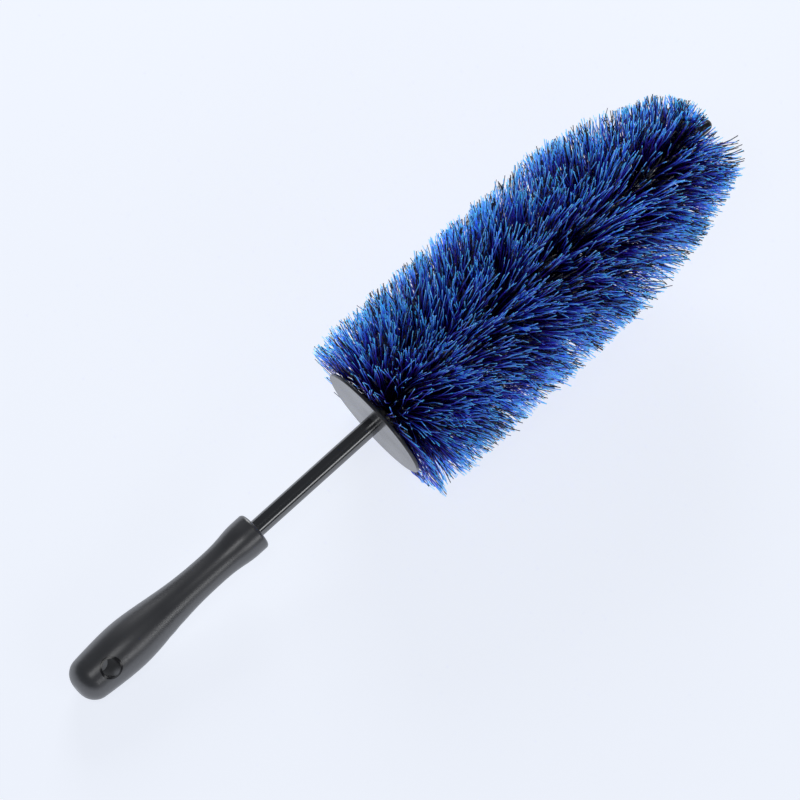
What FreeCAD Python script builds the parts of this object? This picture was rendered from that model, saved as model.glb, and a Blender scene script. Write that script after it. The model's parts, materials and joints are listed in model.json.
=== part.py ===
import FreeCAD, Part
import math
import os

# A long-handled wheel brush of the twisted-wire kind.
# Millimetres. It is modelled along its own axis, +X from the tail of the handle to the tip of
# the head, then laid down as it rests on a table: on the heel of its handle and on the rear of
# its bristles, which flatten a little. The origin is the bottom centre of the whole brush.

Vector = FreeCAD.Vector

# Handle: a soft grip moulded over a hard core. Distances are from the tail end.
TAIL_ROUND = 10.0
TAIL_RADIUS = 12.5
HEEL_ANGLE = 6.0
HANDLE_OUTLINE = [(20.0, 13.4), (35.0, 14.0), (55.0, 12.1), (76.0, 9.7),
                  (91.0, 9.1), (106.0, 9.6), (119.0, 10.9)]
NOSE_LENGTH = 7.0
NOSE_EDGE_ROUND = 2.0
GRIP_WALL = 1.8
COLLAR_WALL = 2.0
COLLAR_RECESS = 0.5

# Hanging hole across the tail, turned about the brush's axis.
HANG_HOLE_RADIUS = 5.0
HANG_HOLE_DISTANCE = 19.5
HANG_HOLE_ROLL = 34.0
HANG_RING_WALL = 1.1
HANG_RING_PROUD = 0.3

# Twisted wire that runs through the whole brush and clamps the bristles.
WIRE_RADIUS = 1.2
WIRE_PITCH = 26.3
WIRE_GAP = 0.05
STRAND_COUNT = 2

# Stem tube over the wire, and the crimp that anchors the wire in the handle.
STEM_RADIUS = 4.9
STEM_EXPOSED = 83.3
STEM_SOCKET_DEPTH = 46.0
STEM_EDGE_ROUND = 0.4
FERRULE_WALL = 1.2
FERRULE_LENGTH = 14.0

# Splash guard: a disc with a hub on its bristle side.
GUARD_RADIUS = 34.0
GUARD_THICKNESS = 2.0
GUARD_RIM_ROUND = 0.8
HUB_WALL = 3.1
HUB_LENGTH = 6.0
HUB_FOOT_ROUND = 1.2

# Bristle head: one turn of bristles for each turn of the wire. The rear outline is measured
# from the guard, and the nose outline back from the front end of the head.
TURN_COUNT = 9
TURN_GAP = 0.3
HEAD_REAR_OUTLINE = [(0.0, 48.5), (16.0, 50.2), (90.0, 51.0)]
HEAD_NOSE_OUTLINE = [(78.0, 50.5), (51.0, 46.2), (33.0, 40.7), (16.0, 34.8), (0.0, 28.2)]
BRISTLE_SINK = 4.0

# Cap over the cut ends of the wire.
CAP_WALL = 0.8
CAP_LENGTH = 14.0
CAP_PROUD = 2.0
CAP_END_THICKNESS = 4.0

# Clearances, all on radius or along the axis.
STEM_FIT = 0.05
GUARD_FIT = 0.03
FERRULE_FIT = 0.1
FERRULE_BORE_FIT = 0.05
WIRE_TUBE_FIT = 0.2
CAP_FIT = 0.05
WIRE_END_FIT = 0.1
BRISTLE_CLEARANCE = 0.3

# Places along the axis and radii that follow from the sizes.
HANDLE_LENGTH = HANDLE_OUTLINE[-1][0] + NOSE_LENGTH
STEM_START = HANDLE_LENGTH - STEM_SOCKET_DEPTH
GUARD_START = HANDLE_LENGTH + STEM_EXPOSED
GUARD_END = GUARD_START + GUARD_THICKNESS
HUB_END = GUARD_END + HUB_LENGTH
HEAD_START = GUARD_END
HEAD_END = HEAD_START + TURN_COUNT * WIRE_PITCH
CAP_END = HEAD_END + CAP_PROUD
CAP_START = CAP_END - CAP_LENGTH
WIRE_END = CAP_END - CAP_END_THICKNESS
FERRULE_START = STEM_START - FERRULE_LENGTH
WIRE_START = FERRULE_START
STRAND_ORBIT = (WIRE_RADIUS + WIRE_GAP / 2) / math.sin(math.pi / STRAND_COUNT)
WIRE_BUNDLE_RADIUS = STRAND_ORBIT + WIRE_RADIUS
COLLAR_RADIUS = STEM_RADIUS + STEM_FIT + COLLAR_WALL
HUB_RADIUS = STEM_RADIUS + GUARD_FIT + HUB_WALL
FERRULE_RADIUS = WIRE_BUNDLE_RADIUS + FERRULE_BORE_FIT + FERRULE_WALL
CAP_RADIUS = WIRE_BUNDLE_RADIUS + CAP_FIT + CAP_WALL

# Far enough out to pass right through any piece.
THROUGH = 4 * (GUARD_RADIUS + HANDLE_LENGTH)


def cylinder_along(start, end, radius):
    """Cylinder on the brush's axis from start to end."""
    return Part.makeCylinder(radius, end - start, Vector(start, 0, 0), Vector(1, 0, 0))


def revolve(edges):
    """Solid of revolution about the brush's axis from a closed chain of edges."""
    face = Part.Face(Part.Wire(edges))
    return face.revolve(Vector(0, 0, 0), Vector(1, 0, 0), 360)


def smooth_edge(points, start_slope=None, end_slope=None):
    """One smooth curve through points, with its end directions when they are given."""
    curve = Part.BSplineCurve()
    if start_slope is None:
        curve.interpolate(points)
    else:
        curve.interpolate(Points=points, InitialTangent=start_slope, FinalTangent=end_slope)
    return curve.toShape()


def circle_edges(solid, x, radius):
    """Circular edges of solid that stand at x and have this radius."""
    found = []
    for edge in solid.Edges:
        is_circle = edge.Curve.TypeId == "Part::GeomCircle"
        if is_circle and abs(edge.Curve.Center.x - x) < 0.01 and abs(edge.Curve.Radius - radius) < 0.01:
            found.append(edge)
    return found


def handle_solid(inset):
    """Handle form of revolution, made smaller all over by inset, or larger where it is below 0."""
    centre = Vector(TAIL_ROUND, TAIL_RADIUS - TAIL_ROUND, 0)
    arc_radius = TAIL_ROUND - inset
    heel = math.radians(90 + HEEL_ANGLE)
    middle = math.radians(135)
    tail_edge = centre + Vector(-arc_radius, 0, 0)
    tail_middle = centre + Vector(math.cos(middle), math.sin(middle), 0) * arc_radius
    heel_point = centre + Vector(math.cos(heel), math.sin(heel), 0) * arc_radius
    body = [heel_point] + [Vector(x, r - inset, 0) for x, r in HANDLE_OUTLINE]
    heel_slope = Vector(math.sin(heel), -math.cos(heel), 0)
    shoulder = body[-1]
    front = HANDLE_LENGTH - inset
    edge_start = Vector(front - NOSE_EDGE_ROUND, shoulder.y, 0)
    edge_end = Vector(front, shoulder.y - NOSE_EDGE_ROUND, 0)
    corner = Vector(edge_start.x, edge_end.y, 0)
    edge_middle = corner + Vector(1, 1, 0) * (NOSE_EDGE_ROUND / math.sqrt(2))
    tail_centre = Vector(tail_edge.x, 0, 0)
    front_centre = Vector(front, 0, 0)
    return revolve([
        Part.LineSegment(tail_centre, tail_edge).toShape(),
        Part.Arc(tail_edge, tail_middle, heel_point).toShape(),
        smooth_edge(body, heel_slope, Vector(1, 0, 0)),
        Part.LineSegment(shoulder, edge_start).toShape(),
        Part.Arc(edge_start, edge_middle, edge_end).toShape(),
        Part.LineSegment(edge_end, front_centre).toShape(),
        Part.LineSegment(front_centre, tail_centre).toShape(),
    ])


def hang_cylinder(radius):
    """Cylinder of the hanging hole, right through the handle."""
    roll = math.radians(HANG_HOLE_ROLL)
    axis = Vector(0, -math.sin(roll), math.cos(roll))
    base = Vector(HANG_HOLE_DISTANCE, 0, 0) - axis * (THROUGH / 2)
    return Part.makeCylinder(radius, THROUGH, base, axis)


def make_core():
    """Hard core: body under the grip, collar at the nose, and the ring round the hanging hole."""
    collar_end = HANDLE_LENGTH - COLLAR_RECESS
    collar = cylinder_along(STEM_START, collar_end, COLLAR_RADIUS)
    ring = handle_solid(-HANG_RING_PROUD).common(hang_cylinder(HANG_HOLE_RADIUS + HANG_RING_WALL))
    core = handle_solid(GRIP_WALL).fuse([collar, ring]).removeSplitter()
    socket = cylinder_along(STEM_START, THROUGH, STEM_RADIUS + STEM_FIT)
    pocket_end = FERRULE_START - FERRULE_FIT
    ferrule_pocket = cylinder_along(pocket_end, STEM_START, FERRULE_RADIUS + FERRULE_FIT)
    return core.cut([socket, ferrule_pocket, hang_cylinder(HANG_HOLE_RADIUS)])


def make_grip():
    """Soft grip: the skin between the handle's outer form and its core."""
    skin = handle_solid(0).cut(handle_solid(GRIP_WALL))
    collar_hole = cylinder_along(STEM_START, THROUGH, COLLAR_RADIUS)
    ring_hole = hang_cylinder(HANG_HOLE_RADIUS + HANG_RING_WALL)
    return skin.cut([collar_hole, ring_hole])


def make_stem():
    """Stem tube from its socket in the handle to the end of the guard's hub."""
    tube = cylinder_along(STEM_START, HUB_END, STEM_RADIUS)
    tube = tube.makeFillet(STEM_EDGE_ROUND, circle_edges(tube, STEM_START, STEM_RADIUS))
    return tube.cut(cylinder_along(STEM_START - 1, HUB_END + 1, WIRE_BUNDLE_RADIUS + WIRE_TUBE_FIT))


def make_guard():
    """Splash guard: disc with rounded rims and a hub that grips the stem."""
    disc = cylinder_along(GUARD_START, GUARD_END, GUARD_RADIUS)
    rims = circle_edges(disc, GUARD_START, GUARD_RADIUS) + circle_edges(disc, GUARD_END, GUARD_RADIUS)
    disc = disc.makeFillet(GUARD_RIM_ROUND, rims)
    guard = disc.fuse(cylinder_along(GUARD_START, HUB_END, HUB_RADIUS)).removeSplitter()
    guard = guard.makeFillet(HUB_FOOT_ROUND, circle_edges(guard, GUARD_END, HUB_RADIUS))
    return guard.cut(cylinder_along(GUARD_START - 1, HUB_END + 1, STEM_RADIUS + GUARD_FIT))


def make_strand(index):
    """One strand of the twisted wire, with its ends cut square."""
    spare = WIRE_RADIUS
    length = WIRE_END - WIRE_START + 2 * spare
    helix = Part.makeHelix(WIRE_PITCH, length, STRAND_ORBIT)
    rise = WIRE_PITCH / (2 * math.pi * STRAND_ORBIT)
    section = Part.Wire(Part.makeCircle(WIRE_RADIUS, Vector(STRAND_ORBIT, 0, 0), Vector(0, 1, rise)))
    strand = Part.Wire(helix.Edges).makePipeShell([section], True, True)
    strand.rotate(Vector(0, 0, 0), Vector(0, 0, 1), 360.0 * index / STRAND_COUNT)
    strand.rotate(Vector(0, 0, 0), Vector(0, 1, 0), 90)
    strand.translate(Vector(WIRE_START - spare, 0, 0))
    return strand.common(cylinder_along(WIRE_START, WIRE_END - WIRE_END_FIT, 2 * WIRE_BUNDLE_RADIUS))


def make_ferrule():
    """Crimp sleeve on the tail end of the wire, in its pocket in the core."""
    sleeve = cylinder_along(FERRULE_START, STEM_START - FERRULE_FIT, FERRULE_RADIUS)
    bore_radius = WIRE_BUNDLE_RADIUS + FERRULE_BORE_FIT
    return sleeve.cut(cylinder_along(FERRULE_START - 1, STEM_START, bore_radius))


def make_cap():
    """Round-nosed cap over the cut ends of the wire."""
    nose_start = CAP_END - CAP_RADIUS
    nose = Part.makeSphere(CAP_RADIUS, Vector(nose_start, 0, 0))
    cap = cylinder_along(CAP_START, nose_start, CAP_RADIUS).fuse(nose).removeSplitter()
    return cap.cut(cylinder_along(CAP_START - 1, WIRE_END, WIRE_BUNDLE_RADIUS + CAP_FIT))


def head_envelope():
    """Outer form of all the bristles together, with room for what runs through them."""
    rear = [Vector(HEAD_START + x, r, 0) for x, r in HEAD_REAR_OUTLINE]
    nose = [Vector(HEAD_END - x, r, 0) for x, r in HEAD_NOSE_OUTLINE]
    start_centre = Vector(HEAD_START, 0, 0)
    end_centre = Vector(HEAD_END, 0, 0)
    head = revolve([
        Part.LineSegment(start_centre, rear[0]).toShape(),
        smooth_edge(rear + nose),
        Part.LineSegment(nose[-1], end_centre).toShape(),
        Part.LineSegment(end_centre, start_centre).toShape(),
    ])
    gap = BRISTLE_CLEARANCE
    wire_room = cylinder_along(HEAD_START - 1, HEAD_END + 1, WIRE_BUNDLE_RADIUS + gap)
    hub_room = cylinder_along(HEAD_START - 1, HUB_END + gap, HUB_RADIUS + HUB_FOOT_ROUND + gap)
    cap_room = cylinder_along(CAP_START - gap, CAP_END, CAP_RADIUS + gap)
    return head.cut([wire_room, hub_room, cap_room])


def make_turns():
    """The bristles of each turn of the wire, as one closed ring each."""
    head = head_envelope()
    turns = {}
    for index in range(TURN_COUNT):
        start = HEAD_START + index * WIRE_PITCH + TURN_GAP
        end = HEAD_START + (index + 1) * WIRE_PITCH
        slab = cylinder_along(start, end, THROUGH)
        turns["bristle_turn_%02d" % (index + 1)] = head.common(slab)
    return turns


def rest_tilt():
    """Slope of the brush's axis when it lies on its heel and on the rear of its bristles."""
    heel_distance = TAIL_ROUND * (1 - math.sin(math.radians(HEEL_ANGLE)))
    run = HEAD_START + HEAD_REAR_OUTLINE[1][0] - heel_distance
    rise = HEAD_REAR_OUTLINE[1][1] - TAIL_RADIUS
    slack = math.asin(BRISTLE_SINK / math.hypot(run, rise))
    return math.degrees(math.atan2(rise, run) - slack)


def tight_box(shape):
    """Exact bounding box of a shape."""
    return shape.optimalBoundingBox(False, False)


def lay_down(nodes):
    """Nodes turned to the resting slope, with the bristles cut level where they are pressed."""
    tilt = rest_tilt()
    for shape in nodes.values():
        shape.rotate(Vector(0, 0, 0), Vector(0, 1, 0), -tilt)
    lift = -tight_box(nodes["handle_grip"]).ZMin
    boxes = [tight_box(shape) for shape in nodes.values()]
    middle = (min(b.XMin for b in boxes) + max(b.XMax for b in boxes)) / 2
    for shape in nodes.values():
        shape.translate(Vector(-middle, 0, lift))
    below = Part.makeBox(2 * THROUGH, 2 * THROUGH, THROUGH, Vector(-THROUGH, -THROUGH, -THROUGH))
    for name in nodes:
        if name.startswith("bristle_turn") and tight_box(nodes[name]).ZMin < 0:
            nodes[name] = nodes[name].cut(below)
    return nodes


def one_solid(name, shape):
    """The single solid of a shape, or a stop that names the piece."""
    if len(shape.Solids) != 1 or not shape.isValid():
        raise ValueError("%s: %d solids, valid %s" % (name, len(shape.Solids), shape.isValid()))
    return shape.Solids[0]


def build():
    """All the nodes, laid down in the part's frame."""
    nodes = {
        "handle_grip": make_grip(),
        "handle_core": make_core(),
        "stem_tube": make_stem(),
        "tail_ferrule": make_ferrule(),
        "splash_guard": make_guard(),
        "tip_cap": make_cap(),
    }
    for index in range(STRAND_COUNT):
        nodes["wire_strand_%d" % (index + 1)] = make_strand(index)
    nodes.update(make_turns())
    return lay_down(nodes)


def main():
    """Write one STEP file for each node."""
    os.makedirs("parts", exist_ok=True)
    for name, shape in build().items():
        solid = one_solid(name, shape)
        solid.exportStep("parts/%s.step" % name)
        box = tight_box(solid)
        print("%-16s %9.1f mm3  x %7.2f %7.2f  z %7.2f %7.2f" % (
            name, solid.Volume, box.XMin, box.XMax, box.ZMin, box.ZMax))
    print("rest tilt %.2f degrees" % rest_tilt())


main()
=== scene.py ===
import json
import math

import bpy
import numpy as np
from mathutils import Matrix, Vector


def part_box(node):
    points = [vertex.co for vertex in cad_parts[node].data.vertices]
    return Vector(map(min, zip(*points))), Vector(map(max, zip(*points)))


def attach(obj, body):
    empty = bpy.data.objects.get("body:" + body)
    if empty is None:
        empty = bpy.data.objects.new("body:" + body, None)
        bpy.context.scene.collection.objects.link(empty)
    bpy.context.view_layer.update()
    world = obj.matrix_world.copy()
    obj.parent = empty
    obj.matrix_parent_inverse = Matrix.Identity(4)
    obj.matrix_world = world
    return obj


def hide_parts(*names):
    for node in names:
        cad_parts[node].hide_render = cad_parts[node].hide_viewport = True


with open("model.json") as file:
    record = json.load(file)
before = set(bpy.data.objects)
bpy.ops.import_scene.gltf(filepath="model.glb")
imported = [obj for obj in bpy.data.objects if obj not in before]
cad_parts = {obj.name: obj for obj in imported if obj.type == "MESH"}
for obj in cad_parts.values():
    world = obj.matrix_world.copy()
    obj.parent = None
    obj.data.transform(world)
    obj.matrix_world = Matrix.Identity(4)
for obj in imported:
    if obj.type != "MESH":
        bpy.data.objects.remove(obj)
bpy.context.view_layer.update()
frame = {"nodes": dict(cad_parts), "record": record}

# The wheel brush lies on a pale table. All lengths are in metres.
MM = 0.001
nodes = frame["nodes"]
rng = np.random.default_rng(31)


# ---------------------------------------------------------------- the brush's own axis

def mount_place(name):
    """Place of one of the record's mounts."""
    for mount in frame["record"]["mounts"]:
        if mount["name"] == name:
            return Vector(mount["pos_m"])
    raise KeyError(name)


def middle(node):
    """Middle of a CAD node's box."""
    low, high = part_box(node)
    return (low + high) / 2


# The hanging hole's middle and the stem's middle both lie on the axis.
HOLE_MIDDLE = mount_place("hang_hole")
AXIS = (middle("stem_tube") - HOLE_MIDDLE).normalized()
SIDE = Vector((0, 1, 0))
RISE = AXIS.cross(SIDE)


def stations(node):
    """First and last distance of a CAD node along the axis, counted from the hanging hole."""
    along = [(v.co - HOLE_MIDDLE).dot(AXIS) for v in nodes[node].data.vertices]
    return min(along), max(along)


def outer_radius(node):
    """Largest distance of a CAD node from the axis."""
    found = []
    for v in nodes[node].data.vertices:
        arm = v.co - HOLE_MIDDLE
        found.append((arm - AXIS * arm.dot(AXIS)).length)
    return max(found)


def on_axis(station):
    """Point on the axis."""
    return HOLE_MIDDLE + AXIS * station


TAIL = stations("handle_grip")[0]
HUB_END = stations("splash_guard")[1]
TIP = stations("tip_cap")[1]
HEAD_START = stations("bristle_turn_01")[0]
HEAD_END = stations("bristle_turn_09")[1]
GUARD_RADIUS = outer_radius("splash_guard")


# ---------------------------------------------------------------- camera

CAMERA_AZIMUTH = math.radians(-41.9)
CAMERA_ELEVATION = math.radians(64.3)
CAMERA_DISTANCE = 7.0
VIEW_WIDTH = 0.4185
AIM_FROM_TAIL = 0.2284
# Direction from the brush to the camera.
BACK = Vector((
    math.sin(CAMERA_AZIMUTH) * math.cos(CAMERA_ELEVATION),
    -math.cos(CAMERA_AZIMUTH) * math.cos(CAMERA_ELEVATION),
    math.sin(CAMERA_ELEVATION),
))


def make_camera():
    """Camera above the tail's side, looking down at the middle of the brush."""
    data = bpy.data.cameras.new("camera")
    camera = bpy.data.objects.new("camera", data)
    bpy.context.scene.collection.objects.link(camera)
    camera.location = on_axis(TAIL + AIM_FROM_TAIL) + BACK * CAMERA_DISTANCE
    camera.rotation_euler = (-BACK).to_track_quat("-Z", "Y").to_euler()
    data.sensor_width = 36
    data.lens = data.sensor_width * CAMERA_DISTANCE / VIEW_WIDTH
    data.clip_start = 0.05
    data.clip_end = 50
    bpy.context.scene.camera = camera


make_camera()


# ---------------------------------------------------------------- node helpers

def add_node(tree, kind, **sockets):
    """A shader node with some of its input sockets set by name or number."""
    node = tree.nodes.new(kind)
    for key, value in sockets.items():
        name = int(key[1:]) if key[0] == "i" and key[1:].isdigit() else key.replace("_", " ")
        node.inputs[name].default_value = value
    return node


def link(tree, source, target):
    """Link two sockets."""
    tree.links.new(source, target)


def ramp(tree, factor, stops):
    """Colour ramp over factor, from a list of (place, colour)."""
    node = tree.nodes.new("ShaderNodeValToRGB")
    elements = node.color_ramp.elements
    elements[0].position, elements[0].color = stops[0][0], (*stops[0][1], 1)
    elements[1].position, elements[1].color = stops[-1][0], (*stops[-1][1], 1)
    for place, colour in stops[1:-1]:
        element = elements.new(place)
        element.color = (*colour, 1)
    link(tree, factor, node.inputs["Fac"])
    return node.outputs["Color"]


def map_value(tree, value, low, high, out_low, out_high):
    """Value brought from one range to another."""
    node = tree.nodes.new("ShaderNodeMapRange")
    link(tree, value, node.inputs["Value"])
    node.inputs["From Min"].default_value = low
    node.inputs["From Max"].default_value = high
    node.inputs["To Min"].default_value = out_low
    node.inputs["To Max"].default_value = out_high
    return node.outputs["Result"]


def mix_colours(tree, factor, first, second):
    """Mix of two colours, each a socket or a plain colour."""
    node = tree.nodes.new("ShaderNodeMix")
    node.data_type = "RGBA"
    link(tree, factor, node.inputs["Factor"])
    for name, colour in (("A", first), ("B", second)):
        socket = [s for s in node.inputs if s.name == name and s.type == "RGBA"][0]
        if isinstance(colour, tuple):
            socket.default_value = (*colour, 1)
        else:
            link(tree, colour, socket)
    return [s for s in node.outputs if s.type == "RGBA"][0]


def new_group(name, inputs, outputs):
    """Shader node group with named float inputs and outputs."""
    group = bpy.data.node_groups.new(name, "ShaderNodeTree")
    for socket, value in inputs:
        made = group.interface.new_socket(socket, in_out="INPUT", socket_type="NodeSocketFloat")
        made.default_value = value
    for socket in outputs:
        group.interface.new_socket(socket, in_out="OUTPUT", socket_type="NodeSocketFloat")
    return group, group.nodes.new("NodeGroupInput"), group.nodes.new("NodeGroupOutput")


def make_moulded_texture():
    """Fine spark-eroded grain, soft unevenness and sparse dust of a moulded plastic surface."""
    group, given, result = new_group(
        "moulded_texture",
        [("Grain Scale", 900.0), ("Patch Scale", 40.0)],
        ["Grain", "Patch", "Dust"])
    place = group.nodes.new("ShaderNodeTexCoord").outputs["Object"]
    grain = add_node(group, "ShaderNodeTexNoise", Detail=3.0, Roughness=0.6)
    patch = add_node(group, "ShaderNodeTexNoise", Detail=2.0, Roughness=0.5)
    dust = add_node(group, "ShaderNodeTexVoronoi", Scale=420.0)
    link(group, place, grain.inputs["Vector"])
    link(group, place, patch.inputs["Vector"])
    link(group, place, dust.inputs["Vector"])
    link(group, given.outputs["Grain Scale"], grain.inputs["Scale"])
    link(group, given.outputs["Patch Scale"], patch.inputs["Scale"])
    link(group, grain.outputs["Fac"], result.inputs["Grain"])
    link(group, patch.outputs["Fac"], result.inputs["Patch"])
    specks = map_value(group, dust.outputs["Distance"], 0.03, 0.09, 1.0, 0.0)
    link(group, specks, result.inputs["Dust"])
    return group


MOULDED_TEXTURE = make_moulded_texture()
# Values between which the texture's patches are counted from none to full.
PATCH_RANGE = (0.3, 0.7)
DUST_GREY = (0.6, 0.6, 0.6)


def new_material(name):
    """Material with an empty node tree, its Principled BSDF and its output."""
    material = bpy.data.materials.new(name)
    material.use_nodes = True
    tree = material.node_tree
    tree.nodes.clear()
    shader = tree.nodes.new("ShaderNodeBsdfPrincipled")
    output = tree.nodes.new("ShaderNodeOutputMaterial")
    link(tree, shader.outputs["BSDF"], output.inputs["Surface"])
    return material, tree, shader


def bump(tree, shader, height, strength, distance):
    """Bump from a height on the shader's normal."""
    node = add_node(tree, "ShaderNodeBump", Strength=strength, Distance=distance)
    link(tree, height, node.inputs["Height"])
    link(tree, node.outputs["Normal"], shader.inputs["Normal"])


def moulded_plastic(name, dark, light, rough, grain_scale, grain_height, dust=0.02, ior=1.5):
    """Moulded plastic or rubber: uneven tone and gloss, a fine grain and a few specks of dust."""
    material, tree, shader = new_material(name)
    texture = tree.nodes.new("ShaderNodeGroup")
    texture.node_tree = MOULDED_TEXTURE
    texture.inputs["Grain Scale"].default_value = grain_scale
    tone = map_value(tree, texture.outputs["Patch"], *PATCH_RANGE, 0.0, 1.0)
    colour = mix_colours(tree, tone, dark, light)
    specks = map_value(tree, texture.outputs["Dust"], 0.0, 1.0, 0.0, dust)
    link(tree, mix_colours(tree, specks, colour, DUST_GREY), shader.inputs["Base Color"])
    gloss = map_value(tree, texture.outputs["Patch"], *PATCH_RANGE, *rough)
    link(tree, gloss, shader.inputs["Roughness"])
    shader.inputs["IOR"].default_value = ior
    if grain_height:
        bump(tree, shader, texture.outputs["Grain"], 1.0, grain_height)
    return material


# ---------------------------------------------------------------- finishes

SOFT_GRIP = moulded_plastic(
    "soft_grip_skin", (0.040, 0.041, 0.046), (0.050, 0.051, 0.056), (0.32, 0.37), 2600.0, 0.00002, 0.05, 2.0)
HARD_CORE = moulded_plastic(
    "hard_core_black", (0.014, 0.014, 0.016), (0.020, 0.020, 0.022), (0.16, 0.24), 700.0, 0.00001)
STEM_BLACK = moulded_plastic(
    "stem_gloss_black", (0.010, 0.011, 0.015), (0.014, 0.015, 0.020), (0.14, 0.18), 500.0, 0.0, ior=2.3)
GUARD_BLACK = moulded_plastic(
    "guard_satin_black", (0.034, 0.034, 0.036), (0.044, 0.044, 0.046), (0.18, 0.25), 900.0, 0.000006)
CAP_BLACK = moulded_plastic(
    "cap_dipped_black", (0.010, 0.010, 0.010), (0.018, 0.017, 0.016), (0.35, 0.5), 1500.0, 0.00005)


def drawn_steel():
    """Galvanised wire: bright metal with dull drawn patches."""
    material, tree, shader = new_material("wire_galvanised")
    texture = tree.nodes.new("ShaderNodeGroup")
    texture.node_tree = MOULDED_TEXTURE
    texture.inputs["Patch Scale"].default_value = 160.0
    tone = map_value(tree, texture.outputs["Patch"], *PATCH_RANGE, 0.0, 1.0)
    link(tree, mix_colours(tree, tone, (0.42, 0.42, 0.43), (0.62, 0.62, 0.63)), shader.inputs["Base Color"])
    link(tree, map_value(tree, tone, 0.0, 1.0, 0.45, 0.25), shader.inputs["Roughness"])
    shader.inputs["Metallic"].default_value = 1.0
    bump(tree, shader, texture.outputs["Grain"], 1.0, 0.00001)
    return material


WIRE_STEEL = drawn_steel()

BRISTLE_UV = "along_filament"
SHADES = 64
# Share of filaments made near-black: painted shade that stands in for blue filaments seen in shade.
PAINTED_SHADE_SHARE = 0.34
# Colours along a filament, from its root (0) to its end (1). Near-black at the root is painted shade of the
# head's depth, and the bright, pale end is painted light that stands in for light shining through the tips.
DEEP_BLUE = [(0.0, (0.001, 0.003, 0.03)), (0.5, (0.003, 0.010, 0.18)),
             (0.8, (0.006, 0.16, 0.60)), (1.0, (0.025, 0.93, 0.89))]
PALE_BLUE = [(0.0, (0.002, 0.010, 0.08)), (0.5, (0.010, 0.07, 0.42)),
             (0.8, (0.07, 0.62, 0.92)), (1.0, (0.50, 1.0, 0.97))]
# The skin is also near-black at the root: painted shade.
VIOLET_SKIN = [(0.0, (0.001, 0.001, 0.01)), (0.6, (0.028, 0.006, 0.14)), (1.0, (0.180, 0.026, 0.48))]
# Glow and skin of the near-black filaments: painted shade.
PAINTED_SHADE_GLOW = (0.002, 0.005, 0.04)
PAINTED_SHADE_SKIN = (0.002, 0.003, 0.012)


def bristle_plastic():
    """Translucent blue filament with a glossy violet skin, near-black towards the root as painted shade and
    bright at the end as painted light, with a near-black share of filaments as painted shade. Its map has
    one column per shade.
    """
    material, tree, shader = new_material("bristle_blue")
    uv = tree.nodes.new("ShaderNodeUVMap")
    uv.uv_map = BRISTLE_UV
    split = tree.nodes.new("ShaderNodeSeparateXYZ")
    link(tree, uv.outputs["UV"], split.inputs["Vector"])
    column = add_node(tree, "ShaderNodeMath", i1=float(SHADES))
    column.operation = "MULTIPLY"
    link(tree, split.outputs["X"], column.inputs[0])
    whole = tree.nodes.new("ShaderNodeMath")
    whole.operation = "FLOOR"
    link(tree, column.outputs[0], whole.inputs[0])
    dice = tree.nodes.new("ShaderNodeTexWhiteNoise")
    dice.noise_dimensions = "1D"
    link(tree, whole.outputs[0], dice.inputs["W"])
    length = split.outputs["Y"]
    # Painted shade: this share of the filaments gets the near-black glow and skin.
    is_painted_shade = map_value(tree, dice.outputs["Value"], PAINTED_SHADE_SHARE, PAINTED_SHADE_SHARE + 0.01, 1.0, 0.0)
    # Painted shade towards the root and painted light towards the end, along the filament's length.
    deep = ramp(tree, length, DEEP_BLUE)
    pale = ramp(tree, length, PALE_BLUE)
    paler = map_value(tree, dice.outputs["Value"], 0.50, 1.0, 0.0, 1.0)
    blend = mix_colours(tree, paler, deep, pale)
    glow = tree.nodes.new("ShaderNodeBsdfTranslucent")
    link(tree, mix_colours(tree, is_painted_shade, blend, PAINTED_SHADE_GLOW), glow.inputs["Color"])
    # Skin darkened towards the root as painted shade.
    skin = ramp(tree, length, VIOLET_SKIN)
    link(tree, mix_colours(tree, is_painted_shade, skin, PAINTED_SHADE_SKIN), shader.inputs["Base Color"])
    shader.inputs["Roughness"].default_value = 0.14
    shader.inputs["IOR"].default_value = 1.55
    both = tree.nodes.new("ShaderNodeAddShader")
    output = [n for n in tree.nodes if n.type == "OUTPUT_MATERIAL"][0]
    link(tree, shader.outputs["BSDF"], both.inputs[0])
    link(tree, glow.outputs["BSDF"], both.inputs[1])
    link(tree, both.outputs["Shader"], output.inputs["Surface"])
    return material


BRISTLE_BLUE = bristle_plastic()


def finish_nodes():
    """The finishes of the CAD nodes that are seen as they are."""
    finishes = {
        "handle_grip": SOFT_GRIP,
        "handle_core": HARD_CORE,
        "stem_tube": STEM_BLACK,
        "splash_guard": GUARD_BLACK,
        "tip_cap": CAP_BLACK,
        "tail_ferrule": WIRE_STEEL,
        "wire_strand_1": WIRE_STEEL,
        "wire_strand_2": WIRE_STEEL,
    }
    for name, material in finishes.items():
        mesh = nodes[name].data
        mesh.materials.clear()
        mesh.materials.append(material)


finish_nodes()


# ---------------------------------------------------------------- bristles

FILAMENTS = 11500
TUFT_SIZE = 7
FILAMENT_RADIUS = 0.235 * MM
FILAMENT_SIDES = 4
FILAMENT_STEPS = 6
ROOT_RADIUS = 2.6 * MM
FLOOR_GAP = 0.4 * MM
TURNS = 9
TWIST_PITCH = (HEAD_END - HEAD_START) / TURNS
# Roots crowd towards the guard by this power.
ROOT_CROWDING = 1.25
# How far round the axis a tuft strays from its strand, in degrees: in the head and at its end.
TUFT_SPREAD = (48, 22)
# By the guard the filaments are this many times as unruly, over this length.
UNRULY = 2.1
UNRULY_LENGTH = 22 * MM
# Most that a filament swings round the axis, and the swing from which it is shortened, in degrees.
SWING_LIMIT = 32
SWING_TRIMMED = 14
# Chances that the guard holds a filament, or lets it stray past the rim, and the share that strays.
STRAY_ODDS = [0.997, 0.003]
STRAY_REACH = [0.0, 0.5]

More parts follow.
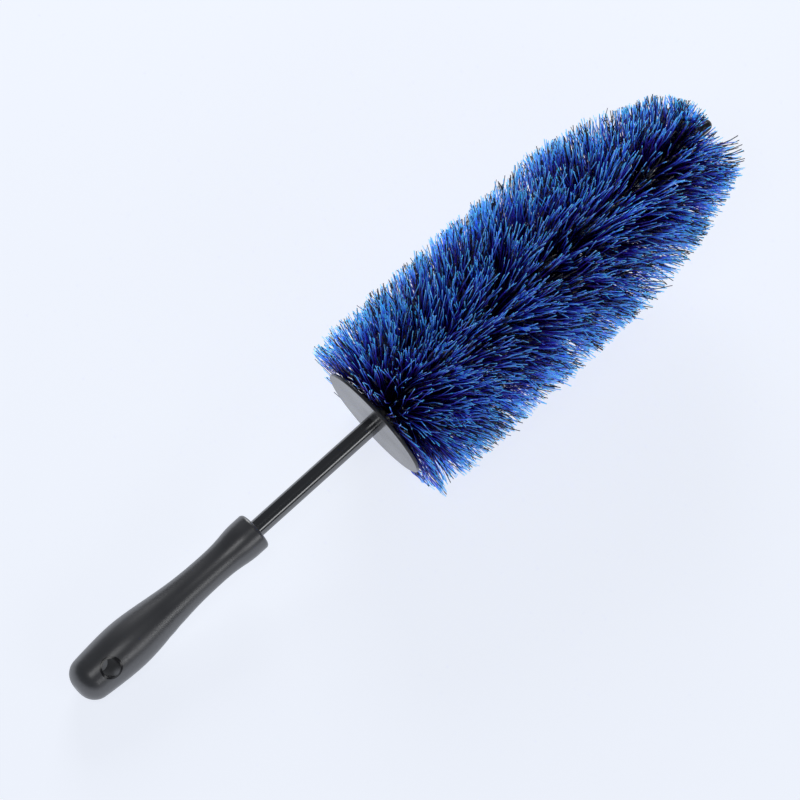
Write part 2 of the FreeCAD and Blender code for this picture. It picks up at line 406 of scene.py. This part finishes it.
# Stations in this section are counted from the start of the head.
HEAD_LENGTH = HEAD_END - HEAD_START
FIRST_ROOT = HUB_END - HEAD_START + 0.5 * MM
LAST_ROOT = HEAD_LENGTH - 13 * MM

# Range in which a filament's length is sought, and how often that range is halved.
SHORTEST = 4 * MM
LONGEST = 75 * MM
HALVINGS = 24

# Form of the trimmed head: distance from its start, and radius.
ENVELOPE = np.array([(-12, 50.5), (0, 50), (16, 51.2), (90, 51.3), (158, 50.2), (184, 46.2),
                     (203, 40.2), (218, 34.5), (228, 31.0), (233, 26.0), (238, 19.5), (242, 12.0),
                     (246, 0.0)]) * MM
# How much further the tip reaches on its right side than on its left.
NOSE_SKEW = 5.0 * MM
# Distances between which that grows from nothing to full.
SKEW_RANGE = [0.15, 0.20]
# Way round the axis where the filaments lie combed: distance of the root, and degrees more lean.
UPWARD = math.radians(-20)
COMBED = np.array([(6, 11), (30, 9), (60, 0), (196, 0), (230, -20)])
# Lean of the filaments towards the tip: distance of the root, and degrees.
LEAN = np.array([(6, -8), (14, 0), (26, 9), (48, 17), (80, 21), (190, 22), (207, 28), (224, 40)])


def master_filament():
    """One filament of unit length and unit radius, standing on the origin."""
    bpy.ops.object.select_all(action="DESELECT")
    bpy.ops.mesh.primitive_circle_add(vertices=FILAMENT_SIDES, radius=1, fill_type="NGON")
    filament = bpy.context.object
    bpy.ops.object.mode_set(mode="EDIT")
    bpy.ops.mesh.select_all(action="SELECT")
    for _ in range(FILAMENT_STEPS):
        bpy.ops.mesh.extrude_region_move(TRANSFORM_OT_translate={"value": (0, 0, 1 / FILAMENT_STEPS)})
    bpy.ops.mesh.select_all(action="SELECT")
    bpy.ops.mesh.normals_make_consistent(inside=False)
    bpy.ops.object.mode_set(mode="OBJECT")
    return filament


def lean_steps(lean):
    """Direction of each step of a filament: it bends away from square as it goes out."""
    share = (np.arange(FILAMENT_STEPS) + 0.5) / FILAMENT_STEPS
    return np.outer(lean, 0.55 + 0.9 * share)


def trimmed_length(root, angle, out_sum, along_sum):
    """Length at which each filament meets the head's trimmed form."""
    skew = NOSE_SKEW * np.sin(angle) * np.interp(root, SKEW_RANGE, [0, 1])
    low = np.full_like(root, SHORTEST)
    high = np.full_like(root, LONGEST)
    for _ in range(HALVINGS):
        guess = (low + high) / 2
        reach = ROOT_RADIUS + guess * out_sum
        limit = np.interp(root + skew + guess * along_sum, ENVELOPE[:, 0], ENVELOPE[:, 1])
        outside = reach > limit
        high = np.where(outside, guess, high)
        low = np.where(outside, low, guess)
    return (low + high) / 2


def tuft_places(tufts):
    """Station of each tuft's root, and its way round the axis, by one of the two strands."""
    root = FIRST_ROOT + (LAST_ROOT - FIRST_ROOT) * rng.random(tufts) ** ROOT_CROWDING
    angle = 2 * math.pi * (root - LAST_ROOT) / TWIST_PITCH + math.pi * rng.integers(0, 2, tufts)
    spread = np.interp(root, [LAST_ROOT - 22 * MM, LAST_ROOT - 4 * MM], TUFT_SPREAD)
    angle += UPWARD + math.pi / 2 + rng.normal(0, 1, tufts) * np.radians(spread)
    return root, angle


def stray_degrees(tuft, tufts, shared, own):
    """Random degrees for each filament: one part is its tuft's, the other its own."""
    return shared * rng.normal(0, 1, tufts)[tuft] + rng.normal(0, own, len(tuft))


def make_wavy(offset, share):
    """Add a slight wave to each filament's offsets, growing from its root."""
    count = len(offset)
    size = rng.uniform(0.2, 1.3, count)[:, None] * MM
    phase = rng.uniform(0, 2 * math.pi, count)[:, None]
    waves = rng.uniform(0.8, 1.8, count)[:, None]
    offset += size * np.sin(2 * math.pi * waves * share + phase) * share


def held_by_guard(along, out):
    """Stations kept on the guard's bristle side, but for a few filaments past its rim."""
    count = len(out)
    past_rim = np.clip(out - GUARD_RADIUS - 1 * MM, 0, None)
    stray = rng.choice(STRAY_REACH, (count, 1), p=STRAY_ODDS)
    return np.maximum(along, rng.uniform(0.5, 2.0, (count, 1)) * MM - past_rim * stray)


def filament_paths(count):
    """Centre lines of all filaments as an array of points, with the station of each root."""
    tufts = count // TUFT_SIZE
    tuft = rng.integers(0, tufts, count)
    tuft_root, tuft_angle = tuft_places(tufts)
    root = np.clip(tuft_root[tuft] + rng.normal(0, 1.6 * MM, count), FIRST_ROOT, LAST_ROOT)
    angle = tuft_angle[tuft] + rng.normal(0, math.radians(3.5), count)
    unruly = np.interp(root, [FIRST_ROOT, FIRST_ROOT + UNRULY_LENGTH], [UNRULY, 1.0])
    lean = np.interp(root, LEAN[:, 0] * MM, LEAN[:, 1])
    lean += np.clip(np.cos(angle - UPWARD), 0, 1) * np.interp(root, COMBED[:, 0] * MM, COMBED[:, 1])
    lean += unruly * stray_degrees(tuft, tufts, 8, 4)
    steps = lean_steps(np.radians(lean))
    length = trimmed_length(root, angle, np.cos(steps).mean(1), np.sin(steps).mean(1))
    length *= 1 - np.abs(rng.normal(0, 0.045, count)) - 0.12 * (rng.random(count) < 0.12)
    length *= 1 + 0.03 * (rng.random(count) < 0.15)
    swing = unruly ** 1.4 * stray_degrees(tuft, tufts, 8, 5)
    swing = np.radians(np.clip(swing, -SWING_LIMIT, SWING_LIMIT))
    length *= np.minimum(1, np.cos(swing) / math.cos(math.radians(SWING_TRIMMED)))
    share = np.arange(FILAMENT_STEPS + 1) / FILAMENT_STEPS
    pad = np.zeros((count, 1))
    out = ROOT_RADIUS + length[:, None] * np.hstack([pad, np.cumsum(np.cos(steps), 1)]) / FILAMENT_STEPS
    along = root[:, None] + length[:, None] * np.hstack([pad, np.cumsum(np.sin(steps), 1)]) / FILAMENT_STEPS
    across = length[:, None] * np.tan(swing)[:, None] * share ** 1.4
    make_wavy(along, share)
    make_wavy(across, share)
    return to_world(held_by_guard(along, out), out, across, angle), root


def to_world(along, out, across, angle):
    """Points given along the axis, out from it and across, brought into the part's frame."""
    start = np.array(on_axis(HEAD_START))
    axis, rise, side = np.array(AXIS), np.array(RISE), np.array(SIDE)
    radial = np.cos(angle)[:, None] * rise + np.sin(angle)[:, None] * side
    tangent = -np.sin(angle)[:, None] * rise + np.cos(angle)[:, None] * side
    return (start + along[..., None] * axis + out[..., None] * radial[:, None]
            + across[..., None] * tangent[:, None])


def press_on_table(points):
    """Bend the filaments that would go through the table along it."""
    count = len(points)
    floor = FLOOR_GAP + rng.uniform(0, 1.6, count)[:, None] * MM
    depth = np.clip(floor - points[..., 2], 0, None)
    points[..., 2] += depth
    points[..., 1] += np.sign(points[..., 1]) * depth * 0.8
    points[..., 0] += depth * 0.4
    return points


def unit(vectors):
    """Vectors of length 1."""
    return vectors / np.linalg.norm(vectors, axis=-1, keepdims=True)


def lay_shades(mesh, corner_places, count):
    """The map of the filaments: a random column of shade across, and the length along."""
    column = (rng.integers(0, SHADES, count)[:, None] + 0.5 + 0.3 * corner_places[:, 0][None]) / SHADES
    uv = np.stack([column, np.broadcast_to(corner_places[:, 2], column.shape)], axis=-1)
    layer = mesh.uv_layers.new(name=BRISTLE_UV)
    layer.data.foreach_set("uv", uv.astype(np.float32).ravel())


def filament_mesh(name, paths, master):
    """One mesh with a copy of the master filament along each path."""
    count = len(paths)
    shape = np.array([v.co for v in master.data.vertices])
    level = np.rint(shape[:, 2] * FILAMENT_STEPS).astype(int)
    tangent = unit(np.gradient(paths, axis=1))
    first = unit(np.cross(tangent, np.array([0.31, 0.62, 0.72])))
    second = np.cross(tangent, first)
    radius = FILAMENT_RADIUS * rng.uniform(0.8, 1.15, count)[:, None, None]
    verts = (paths[:, level] + radius * (shape[:, 0, None] * first[:, level]
                                         + shape[:, 1, None] * second[:, level]))
    faces = [list(p.vertices) for p in master.data.polygons]
    sizes = np.array([len(f) for f in faces])
    corners = np.concatenate(faces)
    loops = (corners[None] + np.arange(count)[:, None] * len(shape)).ravel()
    mesh = bpy.data.meshes.new(name)
    mesh.vertices.add(count * len(shape))
    mesh.vertices.foreach_set("co", verts.astype(np.float32).ravel())
    mesh.loops.add(len(loops))
    mesh.loops.foreach_set("vertex_index", loops.astype(np.int32))
    mesh.polygons.add(count * len(faces))
    starts = np.concatenate([[0], np.cumsum(np.tile(sizes, count))[:-1]])
    mesh.polygons.foreach_set("loop_start", starts.astype(np.int32))
    mesh.polygons.foreach_set("use_smooth", np.ones(count * len(faces), dtype=bool))
    mesh.update(calc_edges=True)
    lay_shades(mesh, shape[corners], count)
    mesh.materials.append(BRISTLE_BLUE)
    mesh.validate()
    piece = bpy.data.objects.new(name, mesh)
    bpy.context.scene.collection.objects.link(piece)
    return piece


def make_bristles():
    """The filaments of each turn of the wire, in place of that turn's solid ring."""
    master = master_filament()
    paths, root = filament_paths(FILAMENTS)
    paths = press_on_table(paths)
    turn = np.clip((root // TWIST_PITCH).astype(int), 0, TURNS - 1)
    for index in range(TURNS):
        name = "filaments_%02d" % (index + 1)
        piece = filament_mesh(name, paths[turn == index], master)
        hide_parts("bristle_turn_%02d" % (index + 1))
        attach(piece, "root")
    bpy.data.objects.remove(master)


make_bristles()


# ---------------------------------------------------------------- table and light

TABLE_GLOW = 0.855
# The painted shadow, a dark spot on the table that stands in for the shade under the tail: its glow, and the
# distances from its middle at which the table begins and is full.
PAINTED_SHADOW_GLOW = 0.04
PAINTED_SHADOW_RANGE = (0.007, 0.012)
# Where the camera's line through the hanging hole meets the table: the middle of the painted shadow.
PAINTED_SHADOW_MIDDLE = HOLE_MIDDLE - BACK * (HOLE_MIDDLE.z / BACK.z)


def make_table():
    """Wide pale table top that gives light, but for a small painted shadow, a dark spot seen through the
    hanging hole.
    """
    bpy.ops.object.select_all(action="DESELECT")
    bpy.ops.mesh.primitive_plane_add(size=12)
    table = bpy.context.object
    table.name = "table"
    material, tree, shader = new_material("table_white")
    place = tree.nodes.new("ShaderNodeTexCoord").outputs["Object"]
    noise = add_node(tree, "ShaderNodeTexNoise", Scale=3.0)
    link(tree, place, noise.inputs["Vector"])
    link(tree, mix_colours(tree, noise.outputs["Fac"], (0.27, 0.28, 0.295), (0.28, 0.29, 0.30)),
         shader.inputs["Base Color"])
    shader.inputs["Roughness"].default_value = 0.7
    shader.inputs["Emission Color"].default_value = (0.87, 0.91, 1.0, 1)
    # Painted shadow: the table's glow drops almost to nothing close to the spot's middle.
    away = add_node(tree, "ShaderNodeVectorMath", i1=PAINTED_SHADOW_MIDDLE)
    away.operation = "DISTANCE"
    link(tree, place, away.inputs[0])
    link(tree, map_value(tree, away.outputs["Value"], *PAINTED_SHADOW_RANGE, PAINTED_SHADOW_GLOW, TABLE_GLOW),
         shader.inputs["Emission Strength"])
    table.data.materials.append(material)


def area_light(name, place, aim, size, power, colour=(1, 1, 1)):
    """Soft oblong light at place, facing aim."""
    data = bpy.data.lights.new(name, "AREA")
    data.shape = "RECTANGLE"
    data.size, data.size_y = size
    data.energy = power
    data.color = colour
    lamp = bpy.data.objects.new(name, data)
    lamp.location = place
    lamp.rotation_euler = (Vector(aim) - Vector(place)).to_track_quat("-Z", "Y").to_euler()
    bpy.context.scene.collection.objects.link(lamp)


def make_light():
    """Even pale surroundings and three soft boxes."""
    world = bpy.data.worlds.new("surroundings")
    bpy.context.scene.world = world
    world.use_nodes = True
    background = world.node_tree.nodes["Background"]
    background.inputs["Color"].default_value = (0.86, 0.91, 1.0, 1)
    background.inputs["Strength"].default_value = 0.13
    area_light("soft_box_main", (-0.6, -0.3, 1.8), (0.0, 0.0, 0.0), (0.5, 0.5), 2.4, (0.98, 0.99, 1.0))
    area_light("soft_box_left", (0.95, 1.2, 0.7), (0.1, 0.0, 0.0), (0.8, 0.8), 12, (0.97, 0.98, 1.0))
    area_light("soft_box_right", (0.05, -1.28, 0.72), (0.0, 0.0, 0.0), (1.0, 0.34), 2.5, (0.97, 0.98, 1.0))


make_table()
make_light()
bpy.context.scene.view_settings.view_transform = "Standard"
